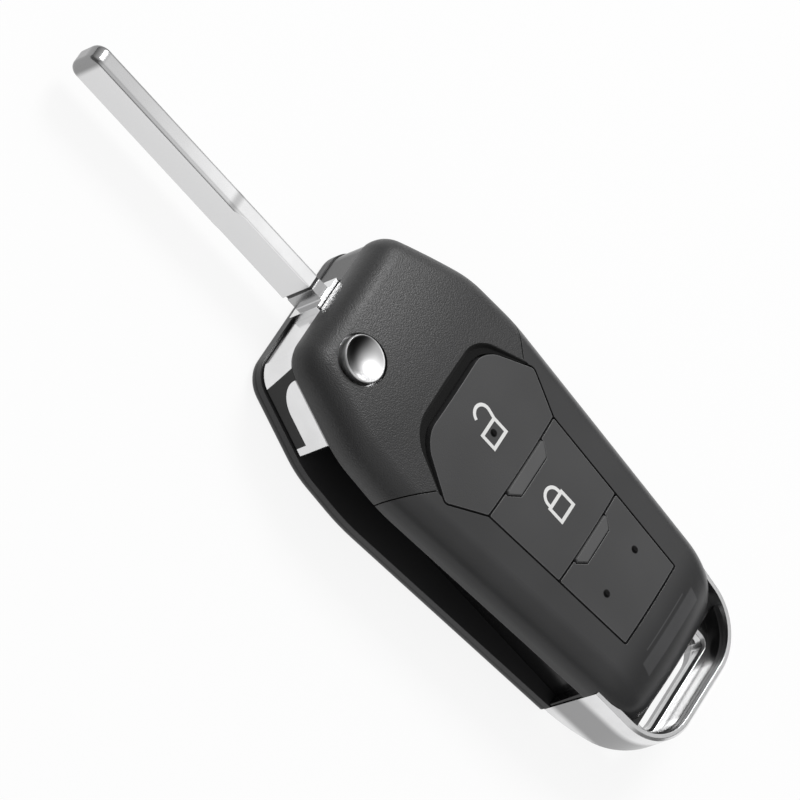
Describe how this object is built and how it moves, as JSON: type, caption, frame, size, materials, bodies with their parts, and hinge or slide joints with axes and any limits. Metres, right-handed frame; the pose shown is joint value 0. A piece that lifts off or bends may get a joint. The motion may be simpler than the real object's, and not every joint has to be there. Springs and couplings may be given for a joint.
{
  "type": "flip-blade remote key",
  "caption": "Folding remote key: a moulded case with a push-button keypad, a metal key-ring loop and a blank blade that swings out on a sprung hinge",
  "frame": {"origin": "Middle of the case's length and width on its flat back", "axes": "+X across the keypad to the right, +Y along the case towards the hinge end and the swung-out blade, +Z out of the button face"},
  "size_m": [0.036, 0.1218, 0.0155],
  "materials": {
    "cover_grained": "fine leather-like grain, satin",
    "cover_smooth": "smooth satin",
    "cover_back": "fine satin",
    "frame_black": "smooth gloss",
    "loop_chrome": "satin chrome",
    "membrane_grey": "smooth grey rubber",
    "pad_plastic": "fine satin with a printed open-padlock mark",
    "button_metal": "satin, dished",
    "spring_steel": "drawn wire",
    "hub_metal": "satin cast",
    "core_black": "plain",
    "blade_steel": "fine ground",
    "pin_steel": "plain",
    "board_green": "solder mask",
    "switch_steel": "pressed sheet",
    "chip_black": "moulded",
    "can_steel": "pressed can",
    "transponder_black": "moulded",
    "coil_copper": "wound wire",
    "cell_steel": "pressed steel",
    "contact_brass": "spring strip"
  },
  "bodies": {
    "case": {"front_cover": "cover_grained", "keypad_bezel": "cover_smooth", "back_cover": "cover_back", "chassis": "frame_black", "chrome_loop": "loop_chrome", "keypad_membrane": "membrane_grey", "blank_pad": "pad_plastic", "release_spring": "spring_steel", "circuit_board": "board_green", "unlock_switch": "switch_steel", "lock_switch": "switch_steel", "radio_chip": "chip_black", "controller_chip": "chip_black", "crystal_can": "can_steel", "transponder_chip": "transponder_black", "antenna_coil": "coil_copper", "coin_cell": "cell_steel", "cell_contact_plus": "contact_brass", "cell_contact_minus": "contact_brass"},
    "blade_arm": {"blade_hub": "hub_metal", "hub_core": "core_black", "blade": "blade_steel", "blade_pin": "pin_steel", "flip_spring": "spring_steel"},
    "release_button": {"release_button": "button_metal"},
    "unlock_key": {"unlock_button": "pad_plastic"},
    "lock_key": {"lock_button": "pad_plastic"}
  },
  "joints": [
    {"name": "blade_flip", "type": "hinge", "parent": "case", "child": "blade_arm", "pos_m": [-0.007, 0.0312, 0.006], "axis": [0, 0, 1], "range_deg": [0, 180], "stiffness_Nm_per_rad": 0.01, "springref_deg": -68.75},
    {"name": "release_press", "type": "slide", "parent": "case", "child": "release_button", "axis": [0, 0, -1], "range_m": [0, 0.002], "stiffness_N_per_m": 1000, "springref_m": -0.001, "deforming": ["release_spring"]},
    {"name": "unlock_press", "type": "slide", "parent": "case", "child": "unlock_key", "axis": [0, 0, -1], "range_m": [0, 0.0004], "stiffness_N_per_m": 3000, "springref_m": -0.0003},
    {"name": "lock_press", "type": "slide", "parent": "case", "child": "lock_key", "axis": [0, 0, -1], "range_m": [0, 0.0004], "stiffness_N_per_m": 3000, "springref_m": -0.0003}
  ]
}
